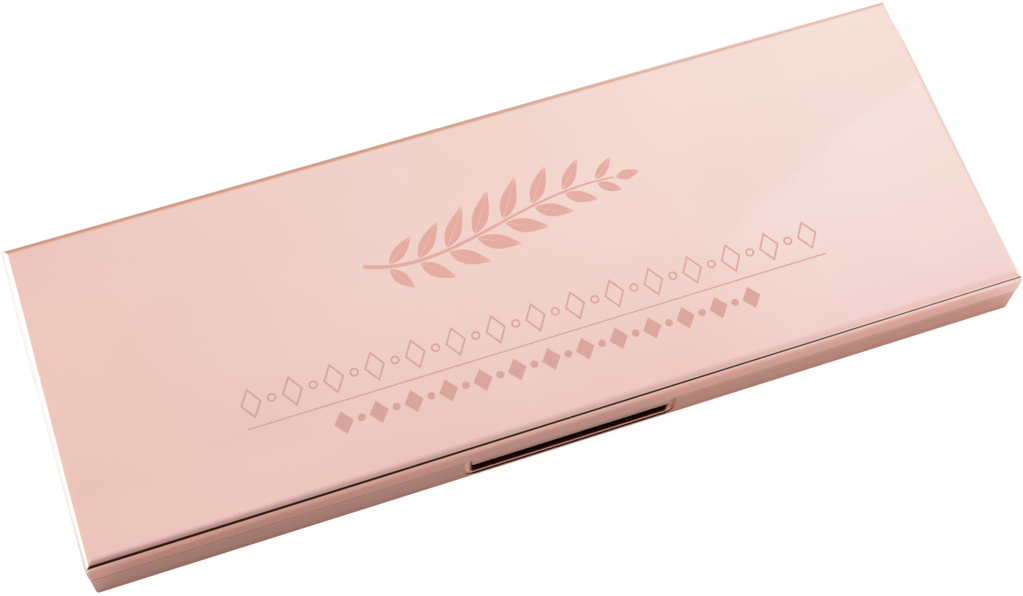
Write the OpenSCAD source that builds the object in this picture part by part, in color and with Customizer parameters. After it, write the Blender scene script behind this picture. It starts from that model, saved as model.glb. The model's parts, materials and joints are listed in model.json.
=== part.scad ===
// Slim hinged eyeshadow palette: a base shell with a drop-in tray of round pans,
// and a lid shell that holds a framed mirror. Millimetres, +Z up, front at -Y.
// The origin is the centre of the underside of the whole closed palette.

/* [Body] */
// Width of the closed palette, left to right
body_w = 200; // [198:1:230]
// Depth of the two shells, front to rear, without the hinge barrels
body_d = 72.5; // [71.5:0.5:90]
// Height of the base shell
base_h = 8.5; // [7.9:0.1:11]
// Height of the lid shell
lid_h = 6.5; // [6.5:0.1:9]
// Height of the parting gap between base and lid
seam = 0.1; // [0.1:0.05:0.3]
// Thickness of the side walls of both shells
wall = 2.2; // [2.2:0.1:3]
// Thickness of the floor of the base
floor_t = 1.4; // [1:0.1:1.6]
// Thickness of the top of the lid
top_t = 1.6; // [1.2:0.1:1.6]
// Radius of the soft edge around the top of the lid
lid_edge_r = 2.3; // [1:0.1:2.3]
// Radius of the edge around the underside of the base
foot_edge_r = 0.2; // [0.2:0.1:0.8]
// Radius of the fine edges on both sides of the parting line
seam_edge_r = 0.25; // [0.15:0.05:0.3]
// Plan radius of the upright corner edges
corner_r = 0.7; // [0.4:0.1:1.2]

/* [Finger notch] */
// Width of the recess in the front of the base
notch_w = 45.7; // [30:0.1:50]
// Depth of the recess into the front wall
notch_depth = 0.7; // [0.7:0.1:1.2]
// Height of the sill left below the recess
notch_sill = 0.6; // [0.6:0.1:2]
// Radius of the lower corners of the recess
notch_corner_r = 2; // [1:0.1:2.5]
// Width of the tab on the lid that hangs into the recess
tab_w = 42.8; // [20:0.1:43]
// How far the tab hangs below the lid
tab_drop = 2.2; // [1:0.1:3]
// Thickness of the tab
tab_t = 0.5; // [0.4:0.1:0.5]

/* [Pans] */
// Number of pans along each row
pan_columns = 6; // [6]
// Outer diameter of each pan
pan_d = 26; // [20:0.5:26]
// Height of each pan
pan_h = 3.6; // [2.5:0.1:3.6]
// Thickness of the drawn metal of a pan
pan_t = 0.4; // [0.3:0.1:0.5]
// Spacing of the pans in both directions
pan_pitch = 31; // [30.5:0.5:31]
// Gap between a pan and the wall of its well, all round
well_gap = 0.4; // [0.2:0.1:0.6]
// Gap between a pressed powder and its pan, all round
powder_gap = 0.1; // [0.05:0.05:0.2]
// How far each powder lies below the rim of its pan
powder_drop = 0.4; // [0.2:0.1:0.8]
// Thickness of the adhesive dot under each pan
dot_t = 0.15; // [0.1:0.05:0.2]
// Diameter of the adhesive dot under each pan
dot_d = 12; // [6:1:20]

/* [Tray] */
// How far the top of the tray lies below the rim of the base
tray_drop = 0.6; // [0.4:0.1:1]
// Thickness of the tray's top plate and of the walls of its wells
tray_t = 1.2; // [0.8:0.1:1.4]
// Gap between an insert and the walls of its shell, all round
insert_gap = 0.2; // [0.1:0.05:0.3]
// Radius of the rounded edge at the mouth of each well
well_edge_r = 0.4; // [0.2:0.1:0.5]

/* [Mirror] */
// Width of the mirror glass
mirror_w = 184; // [150:1:184]
// Depth of the mirror glass
mirror_d = 54; // [40:1:54]
// Thickness of the mirror glass
mirror_t = 1.5; // [1.2:0.1:1.6]
// Thickness of the adhesive sheet behind the mirror
sheet_t = 0.2; // [0.1:0.05:0.3]
// How far the frame laps over the edge of the mirror
frame_lap = 3; // [1.5:0.5:4]
// How far the face of the frame lies inside the rim of the lid
frame_drop = 1; // [0.6:0.1:1.2]
// Plan radius of the corners of the mirror and its window
mirror_corner_r = 2; // [1:0.5:4]

/* [Hinge] */
// Outer radius of the hinge barrels
barrel_r = 1.75; // [1.7:0.05:1.75]
// Radius of the steel hinge pins
pin_r = 0.75; // [0.6:0.05:0.8]
// Radial running clearance of a lid knuckle on its pin
pin_clearance = 0.06; // [0.03:0.01:0.1]
// How far the hinge axis lies behind the rear walls
hinge_out = 0.2; // [0.2:0.05:0.4]
// Distance of each hinge from the middle of the palette
hinge_x = 62; // [40:1:70]
// Width of the middle knuckle, on the lid
lid_knuckle_w = 13.6; // [8:0.1:20]
// Width of each outer knuckle, on the base
base_knuckle_w = 8; // [5:0.1:12]
// Side gap between neighbouring knuckles
knuckle_gap = 0.2; // [0.1:0.05:0.4]
// Clearance between a barrel and the pocket it turns in
pocket_gap = 0.2; // [0.15:0.05:0.2]

/* [Magnets] */
// Diameter of the closure magnets
magnet_d = 4; // [3:0.5:4]
// Thickness of the closure magnets
magnet_t = 1.5; // [1:0.1:1.5]
// Distance of the magnets from the middle, left and right
magnet_x = 62; // [31:31:62]
// Distance of the magnet centres from the front of the shells
magnet_inset = 5.7; // [5.7:0.1:6]

/* [Underside] */
// Width of the shallow label panel in the underside
label_w = 120; // [60:5:150]
// Depth of the label panel, front to rear
label_d = 36; // [20:1:50]
// How deep the label panel is sunk
label_sink = 0.25; // [0.1:0.05:0.4]
// Corner radius of the label panel
label_r = 3; // [1:0.5:6]

/* [Hidden] */
SHADE_ROWS = ["front", "rear"];
PAN_NODES = [for (row = SHADE_ROWS) for (i = [1:pan_columns]) str("pan_", row, "_", i)];
POWDER_NODES = [for (row = SHADE_ROWS) for (i = [1:pan_columns]) str("powder_", row, "_", i)];
$fn = 64;

// A cut runs this far past the face that it opens
over = 1;
// The shells sit forward of the origin by half of what the barrels add at the rear
rear_overhang = hinge_out + barrel_r;
shell_y = -rear_overhang / 2;
lid_z = base_h + seam;
total_h = lid_z + lid_h;
hinge_y = body_d / 2 + hinge_out;
hinge_z = base_h + seam / 2;

cavity_w = body_w - 2 * wall;
cavity_d = body_d - 2 * wall;
insert_w = cavity_w - 2 * insert_gap;
insert_d = cavity_d - 2 * insert_gap;

tray_top = base_h - tray_drop;
well_r = pan_d / 2 + well_gap;
pan_z = tray_top - pan_h - powder_drop;
well_floor = pan_z - dot_t;
powder_r = pan_d / 2 - pan_t - powder_gap;
powder_z = pan_z + pan_t;
powder_top = pan_z + pan_h - powder_drop;

frame_z = lid_z + frame_drop;
lid_inner_z = total_h - top_t;
mirror_z = lid_inner_z - sheet_t - mirror_t;
mirror_fit = 0.2;

magnet_y = magnet_inset - body_d / 2;
magnet_fit = 0.1;
tray_magnet_z = tray_top - 0.6 - magnet_t;
lid_magnet_z = frame_z + 0.6;
magnet_boss_r = magnet_d / 2 + 1.1;

hinge_w = lid_knuckle_w + 2 * (knuckle_gap + base_knuckle_w);
pin_end = 0.4;
pin_l = hinge_w - 2 * pin_end;
// The lid's heel meets the rear wall of the base just past the open limit
heel_out = barrel_r - 0.3;
heel_h = 1.4;
gusset_h = 4.4;

ROSE_GOLD = [0.93, 0.76, 0.72];
STEEL = [0.62, 0.62, 0.64];
TIN = [0.78, 0.77, 0.75];
ADHESIVE = [0.9, 0.9, 0.86];
SHADES = [
    [0.90, 0.78, 0.68], [0.83, 0.66, 0.56], [0.76, 0.53, 0.44],
    [0.66, 0.45, 0.40], [0.52, 0.35, 0.30], [0.34, 0.23, 0.20],
    [0.93, 0.84, 0.78], [0.87, 0.69, 0.63], [0.80, 0.58, 0.50],
    [0.71, 0.46, 0.40], [0.58, 0.38, 0.34], [0.42, 0.28, 0.26]
];

// ---- outlines ----

// A block's side view with its own radius at the top and at the bottom corners
module edge_profile(w, h, r_top, r_bottom) {
    translate([-w / 2, r_bottom]) square([w, h - r_top - r_bottom]);
    translate([r_top - w / 2, h - r_top - over / 10]) square([w - 2 * r_top, r_top + over / 10]);
    translate([r_bottom - w / 2, 0]) square([w - 2 * r_bottom, r_bottom + over / 10]);
    for (side = [-1, 1]) {
        translate([side * (w / 2 - r_top), h - r_top]) circle(r_top);
        translate([side * (w / 2 - r_bottom), r_bottom]) circle(r_bottom);
    }
}

// A plan rectangle with round corners
module corner_profile(w, d, r) {
    square([w - 2 * r, d], center = true);
    square([w, d - 2 * r], center = true);
    for (x = [-1, 1], y = [-1, 1])
        translate([x * (w / 2 - r), y * (d / 2 - r)]) circle(r);
}

// ---- shared solids ----

// A block whose soft edges meet in mitres at the upright corners
module mitred_block(w, d, h, r_top, r_bottom, r_corner) {
    intersection() {
        rotate([90, 0, 0])
            linear_extrude(d + over, center = true) edge_profile(w, h, r_top, r_bottom);
        rotate([90, 0, 90])
            linear_extrude(w + over, center = true) edge_profile(d, h, r_top, r_bottom);
        linear_extrude(h) corner_profile(w, d, r_corner);
    }
}

module rounded_plate(w, d, h, r) {
    linear_extrude(h) corner_profile(w, d, r);
}

// Places its child on the centre of every pan
module at_pan(row, i) {
    translate([(i - (pan_columns + 1) / 2) * pan_pitch, (row - 0.5) * pan_pitch, 0]) children();
}

module at_every_pan() {
    for (row = [0, 1], i = [1:pan_columns])
        at_pan(row, i) children();
}

module at_hinge_axis(x) {
    translate([x, hinge_y, hinge_z]) rotate([90, 0, 90]) children();
}

// A round bar along the hinge axis, centred on x
module hinge_bar(x, r, l) {
    at_hinge_axis(x) cylinder(r = r, h = l, center = true);
}

// The pin's bore is blind at its inner end and open at its outer end
module pin_bore(side) {
    open_l = pin_end + over;
    hinge_bar(side * (hinge_x + open_l / 2), pin_r, pin_l + open_l);
}

// Centres of the two outer knuckles of one hinge
function base_knuckle_x(x) = [
    for (side = [-1, 1])
        x + side * (lid_knuckle_w / 2 + knuckle_gap + base_knuckle_w / 2)
];

// ---- base ----

// Barrel and the gusset that carries it on the rear wall of the base
module base_knuckle(x) {
    hinge_bar(x, barrel_r, base_knuckle_w);
    at_hinge_axis(x)
        linear_extrude(base_knuckle_w, center = true)
            polygon([
                [-wall / 2, 0],
                [-wall / 2, -gusset_h],
                [-hinge_out, -gusset_h],
                [barrel_r * cos(45), -barrel_r * sin(45)],
                [0, 0]
            ]);
}

module finger_notch() {
    notch_h = base_h - notch_sill;
    translate([0, notch_depth - body_d / 2, notch_sill])
        rotate([90, 0, 0])
            linear_extrude(notch_depth + over) {
                translate([-notch_w / 2, notch_corner_r])
                    square([notch_w, notch_h - notch_corner_r + over]);
                translate([notch_corner_r - notch_w / 2, 0])
                    square([notch_w - 2 * notch_corner_r, notch_corner_r + over]);
                for (side = [-1, 1])
                    translate([side * (notch_w / 2 - notch_corner_r), notch_corner_r])
                        circle(notch_corner_r);
            }
}

module base_shell() {
    color(ROSE_GOLD)
        translate([0, shell_y, 0])
            difference() {
                union() {
                    difference() {
                        mitred_block(body_w, body_d, base_h, seam_edge_r, foot_edge_r, corner_r);
                        translate([0, 0, floor_t])
                            rounded_plate(cavity_w, cavity_d, base_h, corner_r);
                        for (x = [-hinge_x, hinge_x])
                            hinge_bar(x, barrel_r + pocket_gap, lid_knuckle_w + 2 * knuckle_gap);
                    }
                    for (x = [-hinge_x, hinge_x], knuckle_x = base_knuckle_x(x))
                        base_knuckle(knuckle_x);
                }
                for (side = [-1, 1])
                    pin_bore(side);
                finger_notch();
                translate([0, 0, -over])
                    rounded_plate(label_w, label_d, label_sink + over, label_r);
            }
}

module hinge_pin(x) {
    color(STEEL)
        translate([0, shell_y, 0])
            hinge_bar(x, pin_r, pin_l);
}

module pan_tray() {
    skirt_z = floor_t;
    color(ROSE_GOLD)
        translate([0, shell_y, 0])
            difference() {
                union() {
                    translate([0, 0, tray_top - tray_t])
                        rounded_plate(insert_w, insert_d, tray_t, corner_r);
                    difference() {
                        translate([0, 0, skirt_z])
                            rounded_plate(insert_w, insert_d, tray_top - skirt_z, corner_r);
                        translate([0, 0, skirt_z - over])
                            rounded_plate(
                                insert_w - 2 * tray_t, insert_d - 2 * tray_t, tray_top, corner_r
                            );
                    }
                    at_every_pan()
                        translate([0, 0, skirt_z])
                            cylinder(r = well_r + tray_t / 2, h = tray_top - skirt_z);
                    for (side = [-1, 1])
                        translate([side * magnet_x, magnet_y, skirt_z])
                            cylinder(r = magnet_boss_r, h = tray_top - skirt_z);
                }
                at_every_pan() {
                    translate([0, 0, well_floor])
                        cylinder(r = well_r, h = tray_top);
                    translate([0, 0, tray_top - well_edge_r])
                        cylinder(r1 = well_r, r2 = well_r + well_edge_r + 0.1, h = well_edge_r + 0.1);
                }
                for (side = [-1, 1])
                    translate([side * magnet_x, magnet_y, floor_t - over])
                        cylinder(
                            r = magnet_d / 2 + magnet_fit,
                            h = tray_magnet_z + magnet_t - floor_t + over
                        );
            }
}

module pan_adhesive_dots() {
    color(ADHESIVE)
        translate([0, shell_y, 0])
            at_every_pan()
                translate([0, 0, well_floor])
                    cylinder(d = dot_d, h = dot_t);
}

module pan(row, i) {
    color(TIN)
        translate([0, shell_y, 0])
            at_pan(row, i)
                translate([0, 0, pan_z])
                    difference() {
                        cylinder(d = pan_d, h = pan_h);
                        translate([0, 0, pan_t])
                            cylinder(r = pan_d / 2 - pan_t, h = pan_h);
                    }
}

module powder(row, i) {
    color(SHADES[row * pan_columns + i - 1])
        translate([0, shell_y, 0])
            at_pan(row, i)
                translate([0, 0, powder_z])
                    cylinder(r = powder_r, h = powder_top - powder_z);
}

module magnet(side, z) {
    color(STEEL)
        translate([side * magnet_x, shell_y + magnet_y, z])
            cylinder(d = magnet_d, h = magnet_t);
}

// ---- lid ----

// Barrel, heel and gusset that carry the lid on its pin
module lid_knuckle(x) {
    hinge_bar(x, barrel_r, lid_knuckle_w);
    at_hinge_axis(x)
        linear_extrude(lid_knuckle_w, center = true)
            polygon([
                [-wall / 2, 0],
                [heel_out, 0],
                [heel_out, heel_h],
                [-hinge_out, gusset_h],
                [-wall / 2, gusset_h]
            ]);
}

module finger_tab() {
    tab_edge_r = 0.4;
    translate([0, tab_t - body_d / 2, lid_z - tab_drop])
        rotate([90, 0, 0])
            linear_extrude(tab_t) {
                translate([-tab_w / 2, tab_edge_r])
                    square([tab_w, tab_drop]);
                translate([tab_edge_r - tab_w / 2, 0])
                    square([tab_w - 2 * tab_edge_r, tab_edge_r + over / 10]);
                for (side = [-1, 1])
                    translate([side * (tab_w / 2 - tab_edge_r), tab_edge_r])
                        circle(tab_edge_r);
            }
}

module lid_shell() {
    color(ROSE_GOLD)
        translate([0, shell_y, 0])
            difference() {
                union() {
                    difference() {
                        translate([0, 0, lid_z])
                            mitred_block(
                                body_w, body_d, lid_h, lid_edge_r, seam_edge_r, corner_r
                            );
                        translate([0, 0, lid_z - over])
                            rounded_plate(
                                cavity_w, cavity_d, lid_inner_z - lid_z + over, corner_r
                            );
                        for (x = [-hinge_x, hinge_x], knuckle_x = base_knuckle_x(x))
                            hinge_bar(
                                knuckle_x, barrel_r + pocket_gap, base_knuckle_w + 2 * knuckle_gap
                            );
                    }
                    for (x = [-hinge_x, hinge_x])
                        lid_knuckle(x);
                    finger_tab();
                }
                for (x = [-hinge_x, hinge_x])
                    hinge_bar(x, pin_r + pin_clearance, hinge_w);
            }
}

module mirror_frame() {
    window_w = mirror_w - 2 * frame_lap;
    window_d = mirror_d - 2 * frame_lap;
    color(ROSE_GOLD)
        translate([0, shell_y, 0])
            difference() {
                translate([0, 0, frame_z])
                    rounded_plate(insert_w, insert_d, lid_inner_z - frame_z, corner_r);
                translate([0, 0, frame_z - over])
                    rounded_plate(window_w, window_d, total_h, mirror_corner_r);
                translate([0, 0, mirror_z])
                    rounded_plate(
                        mirror_w + 2 * mirror_fit, mirror_d + 2 * mirror_fit, total_h, mirror_corner_r
                    );
                for (side = [-1, 1])
                    translate([side * magnet_x, magnet_y, lid_magnet_z])
                        cylinder(r = magnet_d / 2 + magnet_fit, h = total_h);
            }
}

module mirror_glass() {
    color([0.85, 0.88, 0.9])
        translate([0, shell_y, mirror_z])
            rounded_plate(mirror_w, mirror_d, mirror_t, mirror_corner_r);
}

module mirror_adhesive_sheet() {
    border = 6;
    color(ADHESIVE)
        translate([0, shell_y, mirror_z + mirror_t])
            rounded_plate(mirror_w - 2 * border, mirror_d - 2 * border, sheet_t, mirror_corner_r);
}

base_shell();
pan_tray();
pan_adhesive_dots();
for (row = [0, 1], i = [1:pan_columns]) {
    pan(row, i);
    powder(row, i);
}
magnet(-1, tray_magnet_z);  // base_magnet_left
magnet(1, tray_magnet_z);  // base_magnet_right
hinge_pin(-hinge_x);  // hinge_pin_left
hinge_pin(hinge_x);  // hinge_pin_right
lid_shell();
mirror_frame();
mirror_glass();  // mirror
mirror_adhesive_sheet();
magnet(-1, lid_magnet_z);  // lid_magnet_left
magnet(1, lid_magnet_z);  // lid_magnet_right
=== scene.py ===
# Looks of the rose-gold eyeshadow palette: closed, on a pale floor, in a soft studio.
# Metres, +Z up, front at -Y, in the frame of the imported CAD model.
import json
import math

import bmesh
import bpy
from mathutils import Matrix, Vector


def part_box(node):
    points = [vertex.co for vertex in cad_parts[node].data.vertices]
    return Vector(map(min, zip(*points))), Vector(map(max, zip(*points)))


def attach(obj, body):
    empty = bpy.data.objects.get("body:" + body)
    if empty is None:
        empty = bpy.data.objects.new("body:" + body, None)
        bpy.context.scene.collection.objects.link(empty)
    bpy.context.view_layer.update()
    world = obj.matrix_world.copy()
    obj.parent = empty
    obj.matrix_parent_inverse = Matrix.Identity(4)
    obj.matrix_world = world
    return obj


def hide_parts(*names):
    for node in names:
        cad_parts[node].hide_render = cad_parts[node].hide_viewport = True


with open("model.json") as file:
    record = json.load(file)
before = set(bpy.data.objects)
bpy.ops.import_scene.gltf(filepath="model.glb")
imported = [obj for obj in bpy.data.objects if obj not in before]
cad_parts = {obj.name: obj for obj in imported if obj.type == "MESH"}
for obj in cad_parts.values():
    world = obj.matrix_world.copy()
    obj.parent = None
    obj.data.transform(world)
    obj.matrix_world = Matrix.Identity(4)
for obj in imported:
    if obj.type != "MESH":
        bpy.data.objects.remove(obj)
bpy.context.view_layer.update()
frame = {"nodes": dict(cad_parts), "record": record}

# ---- sizes ----

MM = 0.001
SIDES = (-1, 1)
base_lo, base_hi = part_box("base_shell")
lid_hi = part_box("lid_shell")[1]
tray_lo, tray_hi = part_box("pan_tray")
pin_lo, pin_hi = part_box("hinge_pin_left")

# Shells
HALF_W = (base_hi.x - base_lo.x) / 2
CENTRE_Y = (tray_lo.y + tray_hi.y) / 2
FRONT_Y = base_lo.y
HALF_D = CENTRE_Y - FRONT_Y
AXIS_Y = (pin_lo.y + pin_hi.y) / 2
AXIS_Z = (pin_lo.z + pin_hi.z) / 2
SEAM = 0.1 * MM
BASE_RIM = AXIS_Z - SEAM / 2
LID_RIM = AXIS_Z + SEAM / 2
LID_TOP = lid_hi.z
WALL = 2.2 * MM
FLOOR_T = 1.4 * MM
TOP_T = 1.6 * MM
CORNER_R = 0.7 * MM
MITRE_R = 0.22 * MM
LID_EDGE_R = 2.3 * MM
FOOT_EDGE_R = 0.2 * MM
SEAM_EDGE_R = 0.25 * MM
RIM_EDGE_R = 0.04 * MM
BASE_SET_IN = 0.08 * MM
SEAM_OPEN = 0.1 * MM
INNER_EDGE_R = 0.2 * MM
FINE_EDGE = 0.1 * MM
SHARP_ANGLE = math.radians(34)

# Finger notch and tab
NOTCH_HALF_W = 22.85 * MM
NOTCH_DEPTH = 0.7 * MM
NOTCH_SILL = 0.6 * MM
NOTCH_CORNER_R = 2 * MM
NOTCH_FILLET = 0.15 * MM
TAB_HALF_W = 21.4 * MM
TAB_DROP = 2.2 * MM
TAB_T = 0.5 * MM
TAB_EDGE_R = 0.4 * MM

# Hinges
BARREL_R = base_hi.y - AXIS_Y
PIN_R = (pin_hi.z - pin_lo.z) / 2
HINGE_X = (pin_hi.x + pin_lo.x) / -2
HINGE_OUT = AXIS_Y - CENTRE_Y - HALF_D
KNUCKLE_LID_W = 13.6 * MM
KNUCKLE_BASE_W = 8 * MM
KNUCKLE_GAP = 0.2 * MM
POCKET_R = BARREL_R + 0.2 * MM
HEEL_OUT = BARREL_R - 0.3 * MM
HEEL_H = 1.4 * MM
GUSSET_H = 4.4 * MM
LID_BORE_R = PIN_R + 0.06 * MM
BASE_BORE_R = PIN_R + 0.01 * MM
BASE_BORE_SHIFT = 0.4 * MM
BORE_STEPS = 32

# Underside
LABEL_HALF = (60 * MM, 18 * MM)
LABEL_SINK = 0.25 * MM
LABEL_R = 3 * MM

# ---- mesh helpers ----


def rounded_loop(half_w, half_d, radius, z, steps=6):
    """A plan rectangle about the shells' centre, with round corners."""
    points = []
    for sx, sy, start in ((1, 1, 0), (-1, 1, 90), (-1, -1, 180), (1, -1, 270)):
        centre = (sx * (half_w - radius), CENTRE_Y + sy * (half_d - radius))
        for i in range(steps + 1):
            a = math.radians(start + 90 * i / steps)
            points.append((centre[0] + radius * math.cos(a), centre[1] + radius * math.sin(a), z))
    return points


def arc(cx, cy, radius, first, last, steps):
    """Points on an arc, with angles in degrees."""
    turns = [math.radians(first + (last - first) * i / steps) for i in range(steps + 1)]
    return [(cx + radius * math.cos(a), cy + radius * math.sin(a)) for a in turns]


def bridge(bm, rings):
    """Quads between neighbouring rings of vertices."""
    for a, b in zip(rings, rings[1:]):
        for i in range(len(a)):
            j = (i + 1) % len(a)
            bm.faces.new((a[i], a[j], b[j], b[i]))


def loft(bm, loops):
    """A skin through loops of points, capped at both ends."""
    rings = [[bm.verts.new(p) for p in loop] for loop in loops]
    bridge(bm, rings)
    bm.faces.new(rings[0])
    bm.faces.new(rings[-1])


def prism(bm, outline, place):
    """A closed solid from an outline: place(point, end) puts each point at end 0 and end 1."""
    loft(bm, [[place(p, end) for p in outline] for end in (0, 1)])


def add_piece(name, bm, materials, body=None):
    """Makes a piece from bm, with the given materials. It rides the body, where one is given."""
    bmesh.ops.recalc_face_normals(bm, faces=bm.faces)
    mesh = bpy.data.meshes.new(name)
    bm.to_mesh(mesh)
    bm.free()
    mesh.shade_smooth()
    for material in materials:
        mesh.materials.append(material)
    piece = bpy.data.objects.new(name, mesh)
    bpy.context.scene.collection.objects.link(piece)
    if body:
        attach(piece, body)
    return piece


def combine(target, bm, operation):
    """Adds the solids in bm to a piece, or cuts them from it."""
    tool = add_piece("tool", bm, [])
    modifier = target.modifiers.new("combine", "BOOLEAN")
    modifier.operation = operation
    modifier.solver = "EXACT"
    modifier.use_self = operation == "UNION"
    modifier.object = tool
    graph = bpy.context.evaluated_depsgraph_get()
    mesh = bpy.data.meshes.new_from_object(target.evaluated_get(graph))
    target.modifiers.clear()
    target.data = mesh
    bpy.data.objects.remove(tool)


def soften(piece, width, segments=3):
    """Rounds a piece's sharp edges and keeps its flat faces flat."""
    bevel = piece.modifiers.new("soft_edges", "BEVEL")
    bevel.width = width
    bevel.segments = segments
    bevel.limit_method = "ANGLE"
    bevel.angle_limit = SHARP_ANGLE
    bevel.use_clamp_overlap = False
    bevel.miter_outer = "MITER_ARC"
    normals = piece.modifiers.new("flat_faces", "WEIGHTED_NORMAL")
    normals.weight = 100
    normals.keep_sharp = False


def hinge_prism(bm, outline, x, width):
    """A solid along the hinge axis: the outline is (behind the axis, above the axis)."""
    prism(bm, outline, lambda p, end: (x + (end - 0.5) * width, AXIS_Y + p[0], AXIS_Z + p[1]))


def hinge_bar(bm, x, radius, width, steps=64):
    hinge_prism(bm, arc(0, 0, radius, 0, 360 - 360 / steps, steps - 1), x, width)


def base_knuckle_places():
    """X of the four base knuckles, two beside each lid knuckle."""
    offset = KNUCKLE_LID_W / 2 + KNUCKLE_GAP + KNUCKLE_BASE_W / 2
    return [hinge * HINGE_X + side * offset for hinge in SIDES for side in SIDES]


# ---- node helpers ----


def add_node(tree, kind, inputs=None, **settings):
    """Makes a shader node. An input is a value, or the socket that feeds it."""
    made = tree.nodes.new("ShaderNode" + kind)
    for key, value in settings.items():
        setattr(made, key, value)
    for key, value in (inputs or {}).items():
        if isinstance(value, bpy.types.NodeSocket):
            tree.links.new(value, made.inputs[key])
        else:
            made.inputs[key].default_value = value
    return made


def math_node(tree, operation, *values):
    return add_node(tree, "Math", dict(enumerate(values)), operation=operation).outputs[0]


def ramp(tree, factor, stops):
    """Colour along a factor: stops are (place, colour)."""
    made = add_node(tree, "ValToRGB", {"Fac": factor})
    elements = made.color_ramp.elements
    while len(elements) < len(stops):
        elements.new(0.5)
    for element, (place, colour) in zip(elements, stops):
        element.position = place
        element.color = (*colour, 1)
    return made.outputs["Color"]


def remap(tree, value, low, high, to_low=0.0, to_high=1.0, kind="LINEAR"):
    """Maps low..high to to_low..to_high, and clamps beyond them."""
    inputs = {
        "Value": value,
        "From Min": low,
        "From Max": high,
        "To Min": to_low,
        "To Max": to_high,
    }
    return add_node(tree, "MapRange", inputs, interpolation_type=kind).outputs["Result"]


def fade(tree, value, low, high, to_low=0.0, to_high=1.0):
    """The same as remap, with soft ends."""
    return remap(tree, value, low, high, to_low, to_high, "SMOOTHSTEP")


def mix_colour(tree, factor, a, b, blend="MIX"):
    """Colour a at factor 0 and colour b at 1."""
    made = add_node(tree, "Mix", {"Factor": factor}, data_type="RGBA", blend_type=blend)
    for socket, value in ((made.inputs[6], a), (made.inputs[7], b)):
        if isinstance(value, bpy.types.NodeSocket):
            tree.links.new(value, socket)
        else:
            socket.default_value = (*value, 1)
    return made.outputs[2]


def multiply_colour(tree, a, b):
    return mix_colour(tree, 1.0, a, b, "MULTIPLY")


def noise(tree, coords, scale, detail, roughness=0.5, stretch=None, turn=0.0):
    """Noise with features of about one part in scale of a metre.

    With a stretch it has a scale of its own along each axis, after a turn about the upright axis.
    """
    if stretch:
        inputs = {"Vector": coords, "Scale": stretch, "Rotation": (0, 0, turn)}
        coords = add_node(tree, "Mapping", inputs).outputs[0]
    inputs = {"Vector": coords, "Scale": scale, "Detail": detail, "Roughness": roughness}
    return add_node(tree, "TexNoise", inputs).outputs[0]


def bump(tree, height, distance, normal=None):
    inputs = {"Height": height, "Distance": distance, "Strength": 1.0}
    if normal:
        inputs["Normal"] = normal
    return add_node(tree, "Bump", inputs).outputs[0]


def linear(colour):
    """Linear colour of a display colour."""
    return tuple(c / 12.92 if c <= 0.04045 else ((c + 0.055) / 1.055) ** 2.4 for c in colour)


def new_material(name):
    """A material, its tree, its shader and object coordinates."""
    material = bpy.data.materials.new(name)
    material.use_nodes = True
    tree = material.node_tree
    shader = tree.nodes["Principled BSDF"]
    coords = add_node(tree, "TexCoord").outputs["Object"]
    return material, tree, shader, coords


def feed(tree, shader, **sockets):
    """Sets or links the shader's sockets, with underscores for spaces in their names."""
    for key, value in sockets.items():
        socket = shader.inputs[key.replace("_", " ")]
        if isinstance(value, bpy.types.NodeSocket):
            tree.links.new(value, socket)
        else:
            socket.default_value = value


def scratches(tree, coords, threshold, turn):
    """Fine hairlines in one direction, in patches: 1 on a scratch, 0 elsewhere."""
    lines = noise(tree, coords, 1.0, 3.0, 0.6, HAIRLINE_SCALES, turn)
    patches = noise(tree, coords, 55, 2.0)
    drawn = remap(tree, lines, threshold, threshold + 0.03)
    return math_node(tree, "MULTIPLY", drawn, remap(tree, patches, 0.48, 0.62))


# ---- materials ----

WHITE = (1, 1, 1)
BLACK = (0, 0, 0)
ROSE = (0.872, 0.622, 0.556)
ROSE_DEEP = (0.858, 0.602, 0.536)
# A painted highlight for the left end of the finger recess
END_HIGHLIGHT_GOLD = (0.98, 0.70, 0.50)
# Grain that is drawn out along an axis has its own scale along each axis
HAIRLINE_SCALES = (40, 5200, 900)
BRUSHED_SCALES = (5200, 5200, 300)
RECESS_STREAK_SCALES = (2600, 300, 60)
# Painted shade in the recess behind the tab: two brown streak colours near the sill, a near-black
# colour above, and glancing tints that dim its reflections
STREAK_LIGHT = (0.36, 0.14, 0.07)
STREAK_DEEP = (0.09, 0.03, 0.015)
RECESS_SHADE_DARK = (0.045, 0.014, 0.008)
RECESS_TINT_LOW = (0.7, 0.5, 0.35)
RECESS_TINT_HIGH = (0.3, 0.10, 0.06)
RECESS_FADE_H = 2.4 * MM
# The ink and, in the two rows, what multiplies it at the left and at the right: the rows print deeper
# than the sprig, and their darker left is painted shade
INK_DEEP = (0.82, 0.435, 0.375)
INK_PALE = (0.87, 0.480, 0.415)
ROW_INK_LEFT = (0.85, 0.925, 0.945)
ROW_INK_RIGHT = (0.92, 0.945, 0.955)
ROWS_TOP_Y = CENTRE_Y - 7 * MM
MIRROR_DULL = (0.90, 0.915, 0.92)
MIRROR_CLEAR = (0.93, 0.94, 0.94)
FOAM_DEEP = (0.62, 0.60, 0.54)
FOAM_PALE = (0.80, 0.79, 0.73)
# Depths of the finest relief
FILM_PEEL = 0.0022 * MM
FILM_WAVE = 0.06 * MM
FILM_SCRATCH = 0.0012 * MM
INK_GRAIN = 0.006 * MM
METAL_GRAIN = 0.004 * MM
FOAM_CELL = 0.03 * MM
POWDER_GRAIN = 0.03 * MM
POWDER_CLUMP = 0.05 * MM
POWDER_FLECK = 0.04 * MM


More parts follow.
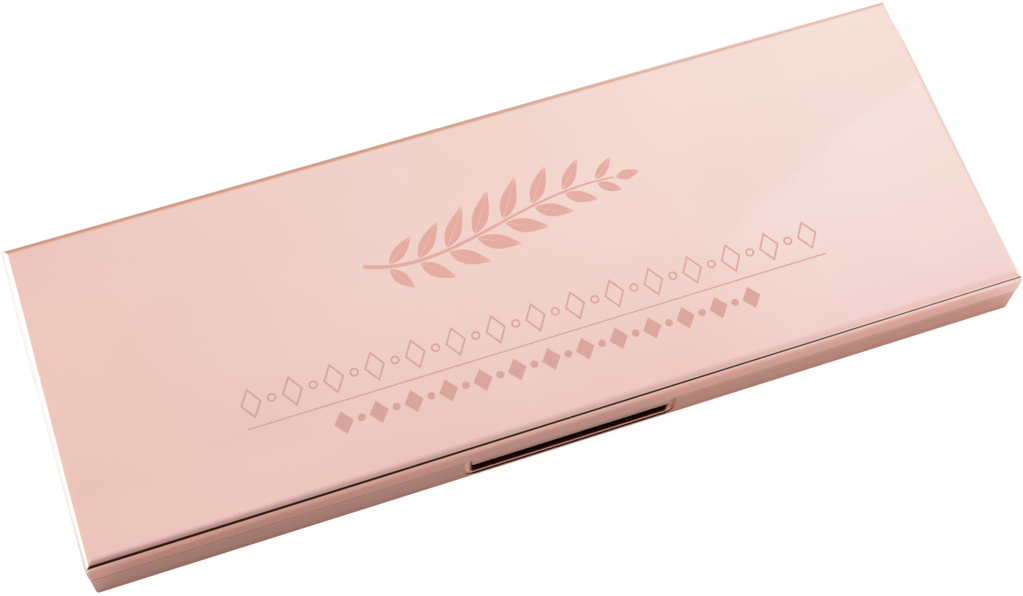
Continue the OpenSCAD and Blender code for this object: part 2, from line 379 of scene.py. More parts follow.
def metallised(name, gloss, haze):
    """Lacquered rose-gold metal film on moulded plastic."""
    material, tree, shader, coords = new_material(name)
    cloud = noise(tree, coords, 34, 3.0)
    one_way = scratches(tree, coords, 0.655, 0.5)
    other_way = scratches(tree, coords, 0.665, 2.1)
    marks = math_node(tree, "MAXIMUM", one_way, other_way)
    smudge = remap(tree, noise(tree, coords, 120, 5.0, 0.62), 0.35, 0.75, gloss, gloss + haze)
    roughness = math_node(tree, "MULTIPLY_ADD", marks, 0.05, smudge)
    peel = bump(tree, noise(tree, coords, 750, 2.0), FILM_PEEL)
    waves = bump(tree, noise(tree, coords, 48, 1.0), FILM_WAVE, peel)
    lines = bump(tree, marks, FILM_SCRATCH, waves)
    feed(
        tree,
        shader,
        Base_Color=mix_colour(tree, remap(tree, cloud, 0.35, 0.65), ROSE, ROSE_DEEP),
        Metallic=1.0,
        Roughness=roughness,
        Normal=lines,
        Coat_Weight=0.12,
        Coat_Roughness=0.03,
    )
    return material


def recess_painted_shade():
    """Painted shade: the film behind the tab is painted dark, near black under the tab and streaked
    brown near the sill, with dimmed glancing reflections.

    Past the tab, the left end of the recess is a pale gold with little metal, a painted highlight; the
    right end is plain rose.
    """
    material, tree, shader, coords = new_material("recess_painted_shade")
    x, _, z = add_node(tree, "SeparateXYZ", {"Vector": coords}).outputs
    off_centre = math_node(tree, "ABSOLUTE", x)
    past_tab = remap(tree, off_centre, TAB_HALF_W - 0.3 * MM, TAB_HALF_W + 0.5 * MM)
    # At the left end past the tab, a painted highlight: paler gold with little metal
    at_left = remap(tree, x, 1 * MM, -1 * MM)
    painted_highlight = math_node(tree, "MULTIPLY", past_tab, at_left)
    height = remap(tree, z, NOTCH_SILL, NOTCH_SILL + RECESS_FADE_H)
    streaks = noise(tree, coords, 1.0, 2.0, 0.5, RECESS_STREAK_SCALES)
    brown = mix_colour(tree, remap(tree, streaks, 0.3, 0.7), STREAK_LIGHT, STREAK_DEEP)
    dark = mix_colour(tree, height, brown, RECESS_SHADE_DARK)
    tint = mix_colour(tree, height, RECESS_TINT_LOW, RECESS_TINT_HIGH)
    feed(
        tree,
        shader,
        Base_Color=mix_colour(tree, past_tab, dark, mix_colour(tree, at_left, ROSE, END_HIGHLIGHT_GOLD)),
        Metallic=remap(tree, painted_highlight, 0.0, 1.0, 1.0, 0.2),
        Roughness=remap(tree, streaks, 0.3, 0.7, 0.12, 0.28),
        Specular_Tint=mix_colour(tree, past_tab, tint, WHITE),
    )
    return material


def ink():
    """Matt rose print on the lid, a little deeper in the two rows than in the sprig."""
    material, tree, shader, coords = new_material("rose_ink")
    grain = noise(tree, coords, 2600, 3.0)
    x, y, _ = add_node(tree, "SeparateXYZ", {"Vector": coords}).outputs
    # In the two rows the ink is darker at the left than at the right: painted shade
    to_right = remap(tree, x, -0.7 * HALF_W, 0.7 * HALF_W)
    row_factor = mix_colour(tree, to_right, ROW_INK_LEFT, ROW_INK_RIGHT)
    in_rows = remap(tree, y, ROWS_TOP_Y, ROWS_TOP_Y - 1 * MM)
    factor = mix_colour(tree, in_rows, WHITE, row_factor)
    feed(
        tree,
        shader,
        Base_Color=multiply_colour(tree, mix_colour(tree, grain, INK_DEEP, INK_PALE), factor),
        Metallic=0.35,
        Roughness=remap(tree, grain, 0.3, 0.7, 0.34, 0.5),
        Normal=bump(tree, grain, INK_GRAIN),
        Specular_IOR_Level=0.4,
    )
    return material


def brushed(name, colour, roughness):
    """Turned or drawn bare metal with fine grain."""
    material, tree, shader, coords = new_material(name)
    grain = noise(tree, coords, 1.0, 3.0, 0.6, BRUSHED_SCALES)
    stain = noise(tree, coords, 300, 3.0)
    darker = tuple(c * 0.82 for c in colour)
    feed(
        tree,
        shader,
        Base_Color=mix_colour(tree, stain, darker, colour),
        Metallic=1.0,
        Roughness=remap(tree, grain, 0.2, 0.8, roughness * 0.7, roughness * 1.35),
        Normal=bump(tree, grain, METAL_GRAIN),
    )
    return material


def silvered_glass():
    """Mirror glass with faint finger marks."""
    material, tree, shader, coords = new_material("silvered_glass")
    smudge = noise(tree, coords, 60, 6.0, 0.65)
    feed(
        tree,
        shader,
        Base_Color=mix_colour(tree, smudge, MIRROR_DULL, MIRROR_CLEAR),
        Metallic=1.0,
        Roughness=remap(tree, smudge, 0.45, 0.8, 0.004, 0.05),
        Coat_Weight=0.6,
        Coat_Roughness=0.01,
    )
    return material


def foam_tape():
    """Off-white foam adhesive with open cells."""
    material, tree, shader, coords = new_material("foam_tape")
    cells = noise(tree, coords, 2400, 4.0, 0.7)
    feed(
        tree,
        shader,
        Base_Color=mix_colour(tree, cells, FOAM_DEEP, FOAM_PALE),
        Roughness=remap(tree, cells, 0.2, 0.8, 0.7, 0.95),
        Normal=bump(tree, cells, FOAM_CELL),
    )
    return material


def pressed_powder(name, colour, shimmer):
    """Pressed pigment: chalky when matt, with fine metallic flecks when it shimmers."""
    material, tree, shader, coords = new_material(name)
    grain = noise(tree, coords, 5200, 4.0, 0.7)
    clumps = noise(tree, coords, 900, 4.0, 0.6)
    pale = tuple(min(1.0, c * 1.18 + 0.015) for c in colour)
    deep = tuple(c * 0.80 for c in colour)
    body = mix_colour(tree, remap(tree, clumps, 0.35, 0.65), deep, pale)
    body = mix_colour(tree, remap(tree, grain, 0.3, 0.7, 0.0, 0.35), body, pale)
    relief = bump(tree, clumps, POWDER_CLUMP, bump(tree, grain, POWDER_GRAIN))
    if shimmer:
        inputs = {"Vector": coords, "Scale": 5200}
        cell = add_node(tree, "TexVoronoi", inputs).outputs["Color"]
        fleck = remap(tree, add_node(tree, "SeparateColor", {"Color": cell}).outputs[0], 0.55, 0.95)
        glint = tuple(min(1.0, c * 1.5 + 0.12) for c in colour)
        feed(
            tree,
            shader,
            Base_Color=mix_colour(tree, fleck, body, glint),
            Metallic=remap(tree, fleck, 0.0, 1.0, 0.35, 0.9),
            Roughness=remap(tree, fleck, 0.0, 1.0, 0.55, 0.24),
            Normal=bump(tree, fleck, POWDER_FLECK, relief),
        )
    else:
        feed(
            tree,
            shader,
            Base_Color=body,
            Roughness=remap(tree, grain, 0.2, 0.8, 0.86, 1.0),
            Normal=relief,
            Specular_IOR_Level=0.25,
            Sheen_Weight=0.25,
            Sheen_Roughness=0.5,
        )
    return material


shell_film = metallised("rose_gold_film", 0.026, 0.02)
insert_film = metallised("rose_gold_insert_film", 0.13, 0.06)
# The recess film is painted shade behind the finger tab, with a painted highlight at the recess's left
# end
recess = recess_painted_shade()
steel = brushed("pin_steel", (0.62, 0.62, 0.64), 0.28)
nickel = brushed("magnet_nickel", (0.66, 0.64, 0.60), 0.22)
tin = brushed("pan_tin", (0.80, 0.79, 0.77), 0.24)
glass = silvered_glass()
tape = foam_tape()
print_ink = ink()

# ---- shells ----


def shell_loops(profile):
    """Plan loops for a wall profile of (inset from the outer face, height)."""
    loops = []
    for inset, z in profile:
        radius = CORNER_R if inset >= WALL - INNER_EDGE_R else max(CORNER_R - inset, MITRE_R)
        loops.append(rounded_loop(HALF_W - inset, HALF_D - inset, radius, z))
    return loops


def make_lid():
    """The lid's cover, with a soft top edge, a finger tab and two knuckles with heels."""
    rim = LID_RIM + SEAM_OPEN
    profile = [(WALL, LID_TOP - TOP_T)]
    profile += arc(WALL - INNER_EDGE_R, rim + INNER_EDGE_R, INNER_EDGE_R, 0, -90, 4)
    profile += arc(SEAM_EDGE_R, rim + SEAM_EDGE_R, SEAM_EDGE_R, -90, -180, 6)
    profile += arc(LID_EDGE_R, LID_TOP - LID_EDGE_R, LID_EDGE_R, 180, 90, 28)
    bm = bmesh.new()
    loft(bm, shell_loops(profile))
    lid = add_piece("lid_cover", bm, [shell_film], "lid")

    pockets = bmesh.new()
    for x in base_knuckle_places():
        hinge_bar(pockets, x, POCKET_R, KNUCKLE_BASE_W + 2 * KNUCKLE_GAP)
    combine(lid, pockets, "DIFFERENCE")

    added = bmesh.new()
    heel_turn = math.degrees(math.acos(HEEL_OUT / BARREL_R))
    knuckle = [(-WALL / 2, GUSSET_H), (-HINGE_OUT, GUSSET_H), (HEEL_OUT, HEEL_H)]
    knuckle += arc(0, 0, BARREL_R, heel_turn, -180, 48)
    knuckle += [(-WALL / 2, HEEL_H / 2)]
    for side in SIDES:
        hinge_prism(added, knuckle, side * HINGE_X, KNUCKLE_LID_W)
    tab = arc(-TAB_HALF_W + TAB_EDGE_R, LID_RIM - TAB_DROP + TAB_EDGE_R, TAB_EDGE_R, 180, 270, 6)
    tab += arc(TAB_HALF_W - TAB_EDGE_R, LID_RIM - TAB_DROP + TAB_EDGE_R, TAB_EDGE_R, 270, 360, 6)
    tab += [(TAB_HALF_W, LID_RIM + WALL / 2), (-TAB_HALF_W, LID_RIM + WALL / 2)]
    prism(added, tab, lambda p, end: (p[0], FRONT_Y + end * TAB_T, p[1]))
    combine(lid, added, "UNION")

    bores = bmesh.new()
    for side in SIDES:
        hinge_bar(bores, side * HINGE_X, LID_BORE_R, KNUCKLE_LID_W * 2, BORE_STEPS)
    combine(lid, bores, "DIFFERENCE")
    soften(lid, FINE_EDGE)
    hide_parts("lid_shell")


def make_notch_cutter():
    """The recess, with a small fillet all round its rear wall."""
    inner = NOTCH_HALF_W - NOTCH_CORNER_R
    low = NOTCH_SILL + NOTCH_CORNER_R
    top = BASE_RIM + NOTCH_DEPTH
    fillet = arc(NOTCH_FILLET, FRONT_Y + NOTCH_DEPTH - NOTCH_FILLET, NOTCH_FILLET, 180, 90, 5)
    loops = []
    for inset, y in [(0.0, FRONT_Y - NOTCH_DEPTH)] + fillet:
        radius = NOTCH_CORNER_R - inset
        outline = arc(-inner, low, radius, 180, 270, 14) + arc(inner, low, radius, 270, 360, 14)
        outline += [(inner + radius, top), (-inner - radius, top)]
        loops.append([(x, y, z) for x, z in outline])
    bm = bmesh.new()
    loft(bm, loops)
    return bm


def paint_recess_shade(base):
    """Gives the notch's rear wall and its sill the base's second material, the recess film that is
    painted shade behind the tab.
    """
    near_y = FRONT_Y + 0.1 * MM
    far_y = FRONT_Y + NOTCH_DEPTH + 0.02 * MM
    top_z = BASE_RIM - 0.3 * MM
    straight = 0.99
    for face in base.data.polygons:
        place = face.center
        in_notch = near_y < place.y < far_y and abs(place.x) < NOTCH_HALF_W and place.z < top_z
        if in_notch and (abs(face.normal.y) > straight or face.normal.z > straight):
            face.material_index = 1


def make_base():
    """The base's tub, with four knuckles, a finger notch and a sunk panel underneath."""
    foot_inset = BASE_SET_IN + FOOT_EDGE_R
    rim_inset = BASE_SET_IN + RIM_EDGE_R
    profile = arc(foot_inset, FOOT_EDGE_R, FOOT_EDGE_R, -90, -180, 6)
    rim = BASE_RIM - SEAM_OPEN
    profile += arc(rim_inset, rim - RIM_EDGE_R, RIM_EDGE_R, 180, 90, 3)
    profile += arc(WALL - INNER_EDGE_R, rim - INNER_EDGE_R, INNER_EDGE_R, 90, 0, 4)
    profile += [(WALL, FLOOR_T)]
    bm = bmesh.new()
    loft(bm, shell_loops(profile))
    base = add_piece("base_tub", bm, [shell_film, recess], "base")

    pockets = bmesh.new()
    for side in SIDES:
        hinge_bar(pockets, side * HINGE_X, POCKET_R, KNUCKLE_LID_W + 2 * KNUCKLE_GAP)
    loft(pockets, [rounded_loop(*LABEL_HALF, LABEL_R, z, 10) for z in (-LABEL_SINK, LABEL_SINK)])
    combine(base, pockets, "DIFFERENCE")

    knuckles = bmesh.new()
    outline = [(-WALL / 2, -GUSSET_H), (-HINGE_OUT, -GUSSET_H)]
    outline += arc(0, 0, BARREL_R, -45, 180, 48)
    outline += [(-WALL / 2, -HEEL_H / 2)]
    for x in base_knuckle_places():
        hinge_prism(knuckles, outline, x, KNUCKLE_BASE_W)
    combine(base, knuckles, "UNION")

    bores = bmesh.new()
    bore_l = KNUCKLE_LID_W + 2 * (KNUCKLE_GAP + KNUCKLE_BASE_W)
    for side in SIDES:
        hinge_bar(bores, side * (HINGE_X + BASE_BORE_SHIFT), BASE_BORE_R, bore_l, BORE_STEPS)
    combine(base, bores, "DIFFERENCE")
    combine(base, make_notch_cutter(), "DIFFERENCE")
    paint_recess_shade(base)
    soften(base, FINE_EDGE)
    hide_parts("base_shell")


make_lid()
make_base()

# ---- pans and powders ----

COLUMNS = 6
SHADE_SLOTS = {
    "front": ("ivory", "sand", "terracotta_nude", "rosewood", "cocoa", "espresso"),
    "rear": ("vanilla", "peach_nude", "warm_clay", "copper_rose", "chestnut", "mulberry_brown"),
}
SHIMMER = ("sand", "rosewood", "espresso", "peach_nude", "copper_rose", "vanilla")
SLOT_COLOURS = {m["slot"]: m["base_color"] for m in frame["record"]["materials"]}
RADIAL_STEPS = 96
TIN_SHEET = 0.4 * MM
TIN_FOOT_R = 0.5 * MM
TIN_EDGE = 0.04 * MM
CAKE_SHOULDER_R = 0.35 * MM
CAKE_RELIEF = 0.16 * MM
CAKE_RINGS = 44
RELIEF_SHARPNESS = 60


def turned_ring(centre, radius, turns, height):
    """Points about an upright axis: height(a) is the height at the angle a."""
    return [
        (centre.x + radius * math.cos(a), centre.y + radius * math.sin(a), height(a)) for a in turns
    ]


def make_pan(row, i):
    """A drawn tin with a rolled rim and a soft bottom edge."""
    node = f"pan_{row}_{i}"
    low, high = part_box(node)
    centre = (low + high) / 2
    radius = (high.x - low.x) / 2
    rim_r = TIN_SHEET / 2
    profile = arc(radius - TIN_FOOT_R, low.z + TIN_FOOT_R, TIN_FOOT_R, -90, 0, 6)
    profile += arc(radius - rim_r, high.z - rim_r, rim_r, 0, 180, 10)
    profile += [(radius - TIN_SHEET, low.z + TIN_SHEET)]
    turns = [2 * math.pi * k / RADIAL_STEPS for k in range(RADIAL_STEPS)]
    bm = bmesh.new()
    loft(bm, [turned_ring(centre, ring_r, turns, lambda a: z) for ring_r, z in profile])
    pan = add_piece(f"tin_{row}_{i}", bm, [tin], "base")
    soften(pan, TIN_EDGE, 2)
    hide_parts(node)


def petal_relief(r, a):
    """A pressed rosette of eight petals, between 0 and 1, for r from 0 to 1."""
    edge = 0.30 + 0.52 * abs(math.cos(4 * a)) ** 0.6
    vein = 0.6 + 0.4 * abs(math.sin(8 * a)) ** 0.5
    return 1 / (1 + math.exp((r - edge) * RELIEF_SHARPNESS)) * vein


def wave_relief(r, a):
    """Pressed ripples across the face, between 0 and 1, for r from 0 to 1."""
    x = r * math.cos(a)
    y = r * math.sin(a)
    edge = 0.86
    ripple = 0.5 + 0.5 * math.sin(26 * (y + 0.07 * math.sin(7 * x)))
    return ripple / (1 + math.exp((r - edge) * RELIEF_SHARPNESS))


def make_powder(row, i, shade):
    """A pressed cake with a soft shoulder and a raised pattern."""
    node = f"powder_{row}_{i}"
    low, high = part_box(node)
    centre = (low + high) / 2
    radius = (high.x - low.x) / 2
    relief = petal_relief if shade in SHIMMER else wave_relief
    face_r = radius - CAKE_SHOULDER_R
    steps = 2 * RADIAL_STEPS
    turns = [2 * math.pi * k / steps for k in range(steps)]
    sides = [(radius, low.z)]
    sides += arc(face_r, high.z - CAKE_SHOULDER_R, CAKE_SHOULDER_R, 0, 90, 6)
    rings = [turned_ring(centre, ring_r, turns, lambda a: z) for ring_r, z in sides]
    for k in range(1, CAKE_RINGS):
        share = 1 - k / CAKE_RINGS
        rings.append(
            turned_ring(
                centre, face_r * share, turns, lambda a: high.z + CAKE_RELIEF * relief(share, a)
            )
        )
    bm = bmesh.new()
    loft(bm, rings)
    slot = f"powder_{shade}"
    powder = pressed_powder(slot, linear(SLOT_COLOURS[slot]), shade in SHIMMER)
    cake = add_piece(f"cake_{row}_{i}", bm, [powder], "base")
    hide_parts(node)


for row, shades in SHADE_SLOTS.items():
    for column in range(1, COLUMNS + 1):
        make_pan(row, column)
        make_powder(row, column, shades[column - 1])

# ---- printed decoration on the lid ----

INK_T = 0.02 * MM
INK_SUNK = 0.01 * MM
LINE_W = 0.36 * MM
DISC_STEPS = 28
# The sprig: the control points of its stem in millimetres about the lid's centre, and its leaves
STEM_POINTS = ((-30, 9), (-13, 1.5), (5, 15), (26.5, 12.5))
STEM_HALF_W = 0.42 * MM
STEM_TIP_HALF_W = 0.18 * MM
LEAF_PAIRS = 8
LEAF_L = 9.6 * MM
LEAF_W = 1.55 * MM
LEAF_GAP = 0.12 * MM
LEAF_STEPS = 16
LEAF_SWAY = 0.10
LEAF_LEAN = 47
LEAF_LEAN_DROP = 10
TIP_LEAF_L = 5.2 * MM
TIP_LEAF_W = 1.0 * MM


def flat_face(bm, outline):
    bm.faces.new([bm.verts.new((x, CENTRE_Y + y, LID_TOP + INK_T)) for x, y in outline])


def flat_band(bm, outer, inner):
    """A closed band between two outlines with the same number of points."""
    rings = [
        [bm.verts.new((x, CENTRE_Y + y, LID_TOP + INK_T)) for x, y in outline]
        for outline in (outer, inner)
    ]
    bridge(bm, rings)


def lozenge(x, y, half_w, half_h):
    return [(x + half_w, y), (x, y + half_h), (x - half_w, y), (x, y - half_h)]


def disc(x, y, radius):
    return arc(x, y, radius, 0, 360 - 360 / DISC_STEPS, DISC_STEPS - 1)


def stem_point(t):
    """Place and direction along the sprig's stem, in the lid's plan, for t from 0 to 1."""
    a, b, c, d = [Vector(p) * MM for p in STEM_POINTS]
    u = 1 - t
    place = u**3 * a + 3 * u * u * t * b + 3 * u * t * t * c + t**3 * d
    slope = u * u * (b - a) + 2 * u * t * (c - b) + t * t * (d - c)
    return place, slope.normalized()


def half_leaf(bm, root, along, length, width, side):
    """One half of a leaf, between its midrib gap and its swelling outer edge."""
    across = Vector((-along.y, along.x)) * side

    def leaf_point(s, out):
        return root + along * (length * s) + across * out + Vector((0, LEAF_SWAY * length * s * s))

    outline = []
    for i in range(LEAF_STEPS + 1):
        s = i / LEAF_STEPS
        swell = math.sin(math.pi * s**0.8) ** 1.1
        outline.append(leaf_point(s, LEAF_GAP + width * swell))
    for s in (0.75, 0.5, 0.25, 0):
        rib = LEAF_GAP * (1 - s) * 0.8 + LEAF_GAP * 0.2
        outline.append(leaf_point(s, rib * 0.5))
    flat_face(bm, [(p.x, p.y) for p in outline])


def draw_sprig(bm):
    """A stem with pairs of split leaves and one leaf at its tip."""
    steps = 60
    left = []
    right = []
    for i in range(steps + 1):
        place, along = stem_point(i / steps)
        across = Vector((-along.y, along.x))
        half = STEM_HALF_W + (STEM_TIP_HALF_W - STEM_HALF_W) * i / steps
        left.append(place + across * half)
        right.append(place - across * half)
    flat_face(bm, [(p.x, p.y) for p in left + right[::-1]])
    for k in range(LEAF_PAIRS):
        t = 0.09 + 0.84 * k / (LEAF_PAIRS - 1)
        place, along = stem_point(t)
        swell = math.sin(math.pi * (0.22 + 0.62 * t))
        for side in SIDES:
            lean = Matrix.Rotation(side * math.radians(LEAF_LEAN - LEAF_LEAN_DROP * t), 2) @ along
            root = place + lean * 0.9 * MM
            for half in SIDES:
                half_leaf(bm, root, lean, LEAF_L * swell, LEAF_W * swell, half)
    place, along = stem_point(1)
    for half in SIDES:
        half_leaf(bm, place + along * 0.5 * MM, along, TIP_LEAF_L, TIP_LEAF_W, half)


def draw_line_row(bm):
    """Outlined lozenges with small rings between them, and a rule below."""
    row_y = -12.9 * MM
    half_w = 2.2 * MM
    half_h = 3.4 * MM
    ring_r = 0.95 * MM
    pitch = 8.6 * MM
    count = 15
    inner = 1 - LINE_W * math.hypot(half_w, half_h) / (half_w * half_h)
    for i in range(count):
        x = (i - (count - 1) / 2) * pitch
        outer = lozenge(x, row_y, half_w, half_h)
        flat_band(bm, outer, lozenge(x, row_y, half_w * inner, half_h * inner))
        if i < count - 1:
            ring_x = x + pitch / 2
            flat_band(bm, disc(ring_x, row_y, ring_r), disc(ring_x, row_y, ring_r - LINE_W))
    rule_y = -18.06 * MM
    rule_half = 0.14 * MM
    end = (count - 1) / 2 * pitch + half_w
    corners = ((-end, -rule_half), (end, -rule_half), (end, rule_half), (-end, rule_half))
    flat_face(bm, [(x, rule_y + y) for x, y in corners])


def draw_solid_row(bm):
    """Solid lozenges with dots between them."""
    row_y = -22.6 * MM
    half_w = 2.0 * MM
    half_h = 2.5 * MM
    dot_r = 0.8 * MM
    pitch = 7.3 * MM
    count = 13
    for i in range(count):
        x = (i - (count - 1) / 2) * pitch
        flat_face(bm, lozenge(x, row_y, half_w, half_h))
        if i < count - 1:
            flat_face(bm, disc(x + pitch / 2, row_y, dot_r))


def make_print():
    """The sprig and the two rows as one thin piece, sunk a little into the lid."""
    bm = bmesh.new()
    draw_sprig(bm)
    draw_line_row(bm)
    draw_solid_row(bm)
    for face in bm.faces:
        if face.normal.z < 0:
            face.normal_flip()
    made = bmesh.ops.extrude_face_region(bm, geom=list(bm.faces), use_keep_orig=True)
    moved = [v for v in made["geom"] if isinstance(v, bmesh.types.BMVert)]
    bmesh.ops.translate(bm, verts=moved, vec=(0, 0, -INK_T - INK_SUNK))
    film = add_piece("lid_print", bm, [print_ink], "lid")
    film.data.shade_flat()


make_print()

# ---- CAD nodes that stay ----

WELD = 0.002 * MM


def dress(node, material, width=0.0):
    """Gives a CAD node its material, and soft edges where a width is given."""
    piece = frame["nodes"][node]
    piece.data.materials.clear()
    piece.data.materials.append(material)
    if width:
        weld = piece.modifiers.new("weld", "WELD")
        weld.merge_threshold = WELD
        soften(piece, width)


dress("pan_tray", insert_film, 0.12 * MM)
dress("mirror_frame", insert_film, 0.2 * MM)
dress("mirror", glass)
dress("mirror_adhesive_sheet", tape)
dress("pan_adhesive_dots", tape)
for end in ("left", "right"):
    dress(f"hinge_pin_{end}", steel, 0.1 * MM)
    dress(f"base_magnet_{end}", nickel, 0.15 * MM)
    dress(f"lid_magnet_{end}", nickel, 0.15 * MM)

# ---- camera ----

CAMERA_TARGET = Vector((-1.9, -5.1, 7.6)) * MM
CAMERA_DISTANCE = 421.5 * MM
CAMERA_AZIMUTH = math.radians(23.26)
CAMERA_ELEVATION = math.radians(65.46)
CAMERA_ROLL = math.radians(4.60)
CAMERA_LENS = 70.9
CAMERA_SENSOR = 36
CAMERA_NEAR = 0.01


def make_camera():
    """The main view: from the front left and well above, with the picture turned a little."""
    camera = bpy.data.objects.new("camera", bpy.data.cameras.new("camera"))
    bpy.context.scene.collection.objects.link(camera)
    bpy.context.scene.camera = camera
    camera.data.lens = CAMERA_LENS
    camera.data.sensor_width = CAMERA_SENSOR
    camera.data.clip_start = CAMERA_NEAR
    level = math.cos(CAMERA_ELEVATION)
    aside = level * math.sin(CAMERA_AZIMUTH)
    ahead = level * math.cos(CAMERA_AZIMUTH)
    forward = Vector((aside, ahead, -math.sin(CAMERA_ELEVATION)))
    turn = forward.to_track_quat("-Z", "Y").to_matrix() @ Matrix.Rotation(CAMERA_ROLL, 3, "Z")
    place = Matrix.Translation(CAMERA_TARGET - forward * CAMERA_DISTANCE)
    camera.matrix_world = place @ turn.to_4x4()


make_camera()

# ---- studio ----

# A ramp holds no colour above 1, so the sweeps' colours are divided by this, and the clouds'
# factors bring them back
GAIN = 1.3
# The studio's light by angle in the upright front-to-rear plane: 0 is the front horizon,
# 90 overhead and 180 the rear horizon. One list for the middle and left, one for the right.
SWEEP_LEFT = (
    (0, (0.70, 0.50, 0.40)),
    (9, (0.60, 0.46, 0.38)),
    (36, (0.48, 0.38, 0.43)),
    (49, (0.46, 0.34, 0.40)),
    (59, (0.53, 0.39, 0.43)),
    (69, (0.62, 0.46, 0.50)),
    (79, (0.75, 0.60, 0.63)),
    (89, (0.87, 0.73, 0.76)),
    (99, (0.88, 0.76, 0.81)),
    (109, (0.93, 0.84, 0.87)),
    (113.5, (0.985, 0.92, 0.935)),
    (117, (0.99, 0.925, 0.93)),
    (122, (0.99, 0.92, 0.92)),
    (131, (1.02, 0.89, 0.80)),
    (141, (0.94, 0.78, 0.67)),
    (154, (0.78, 0.60, 0.50)),
    (180, (0.64, 0.45, 0.37)),
)
SWEEP_RIGHT = (
    (0, (0.92, 0.86, 0.82)),
    (10, (0.95, 0.96, 0.98)),
    (31, (0.96, 0.98, 1.06)),
    (37, (1.02, 1.04, 1.12)),
    (49, (0.92, 0.84, 0.85)),
    (69, (0.98, 0.87, 0.90)),
    (99, (0.98, 0.92, 0.98)),
    (109, (1.01, 1.01, 1.08)),
    (113.5, (1.055, 1.16, 1.235)),
    (118, (1.07, 1.23, 1.30)),
    (150, (1.02, 1.05, 1.06)),
    (180, (0.95, 0.95, 0.95)),
)
# The dark card close in front of the lid: its place, its lower edge, which rises to the right,
# its upper edge, which drops to the right, and its colours, paler to the right
FLAG_Y = FRONT_Y - 6 * MM
FLAG_LEFT = -105 * MM
FLAG_RIGHT = 112 * MM
FLAG_LOW = 15.5 * MM
FLAG_RISE = 0.004
FLAG_HIGH = 19.1 * MM
FLAG_DROP = 0.013
FLAG_SOFT_LOW = 0.25 * MM
FLAG_SOFT_HIGH = 0.45 * MM
FLAG_MARGIN = 3 * MM
FLAG_DARK = (0.031, 0.014, 0.006)
FLAG_PALE = (0.15, 0.125, 0.13)
FLAG_PALE_FROM = 24 * MM
FLAG_PALE_TO = 90 * MM
# Where across the room the left sweep gives way to the right one, and how far that moves to the
# right low at the rear
ACROSS_LEFT = -0.06
ACROSS_RIGHT = 0.36
LOW_REAR_FROM = 0.55
LOW_REAR_TO = 0.85
LOW_REAR_SHIFT = 0.17
# The clouds' factors, which multiply the sweeps
CLOUD_COOL = (1.27, 1.30, 1.33)
CLOUD_WARM = (1.32, 1.31, 1.25)
# Softboxes: the sides that bound each, as (outward normal, offset, softness), and its light
SOFTBOXES = (
    ((((-0.228, -0.882, 0.412), 0.055, 0.09), ((1, 0, 0), -0.52, 0.12)), (3.0, 2.9, 2.7)),
    ((((-1, 0, 0), -0.50, 0.10), ((0, -1, 0), -0.41, 0.03), ((0, 0, 1), 0.50, 0.2)), (1.7, 2.0, 2.1)),
)
# Parts of the room that are lighter or warmer: the sides that bound each, and what multiplies its
# light. The first two give the faint edges seen in the top face.
TINTED_PARTS = (
    ((((-0.383, 0.887, -0.257), 0, 0.004), ((-1, 0, 0), -0.24, 0.05)), (1.03, 1.055, 1.065)),
    ((((0.022, 0.933, -0.358), 0, 0.012), ((1, 0, 0), 0.10, 0.08)), (1.02, 1.04, 1.05)),
    ((((-1, 0, 0), -0.40, 0.12), ((0, -1, 0), -0.15, 0.1)), (0.97, 0.92, 0.89)),
)
# Walls of the room to the front left and the front right: the sides that bound each, and its light
WALLS = (
    ((((0, 1, 0), 0.10, 0.15), ((1, 0, 0), -0.09, 0.06)), (0.66, 0.62, 0.60)),
    ((((0, 1, 0), 0.05, 0.15), ((-1, 0, 0), -0.42, 0.08)), (0.80, 0.62, 0.54)),
)
# The light from below in front and at the rear, and what the camera sees behind everything
UNDERGLOW_FRONT = (0.72, 0.68, 0.67)
UNDERGLOW_REAR = (1.00, 0.97, 0.95)
BACKDROP = WHITE
# The floor card as the palette reflects it: its own grain; in front, a darker, warmer colour, lighter
# to the right, which is painted shade; far behind, a darker tan;
# the painted shade close to the foot, the painted contact shade right at it, and the light that the
# card adds
CARD_DEEP = (0.89, 0.90, 0.90)
CARD_PALE = (0.91, 0.92, 0.92)
FRONT_SHADE_LEFT = (0.77, 0.60, 0.55)
FRONT_SHADE_RIGHT = (0.83, 0.67, 0.64)
FAR_CARD = (0.72, 0.52, 0.44)
FOOT_SHADE_LEFT = (0.84, 0.95, 0.97)
FOOT_SHADE_RIGHT = (0.84, 0.74, 0.70)
FOOT_SHADE_Y = FRONT_Y - 3 * MM
FOOT_SHADE_SOFT = 0.6 * MM
CONTACT_SHADE = (0.88, 0.82, 0.80)
CONTACT_REACH = 1.2 * MM
FRONT_GLOW = (0.22, 0.20, 0.19)
FRONT_GLOW_AT_FOOT = 0.6
SIDE_GLOW = (0.36, 0.72, 0.86)
SIDE_GLOW_AT_FRONT = 0.65
REAR_GLOW = (0.25, 0.40, 0.46)
# The floor as the camera sees it: matt paper that glows
PAPER = (0.3, 0.3, 0.3)
PAPER_GLOW = 0.86
# The floor's size, in metres, and how far it lies under the palette's foot
FLOOR_HALF = 2.5
FLOOR_DROP = 0.05 * MM


def sweep(tree, theta, stops):
    """A studio sweep along theta, which is 0 at the front horizon and 1 at the rear one."""
    return ramp(tree, theta, [(a / 180, tuple(c / GAIN for c in colour)) for a, colour in stops])


def within(tree, towards, sides):
    """1 inside all of the given sides, 0 outside."""
    inside = 1.0
    for normal, offset, softness in sides:
        reach = add_node(tree, "VectorMath", {0: towards, 1: normal}, operation="DOT_PRODUCT")
        edge = fade(tree, reach.outputs["Value"], offset, offset - softness)
        inside = math_node(tree, "MULTIPLY", inside, edge)
    return inside


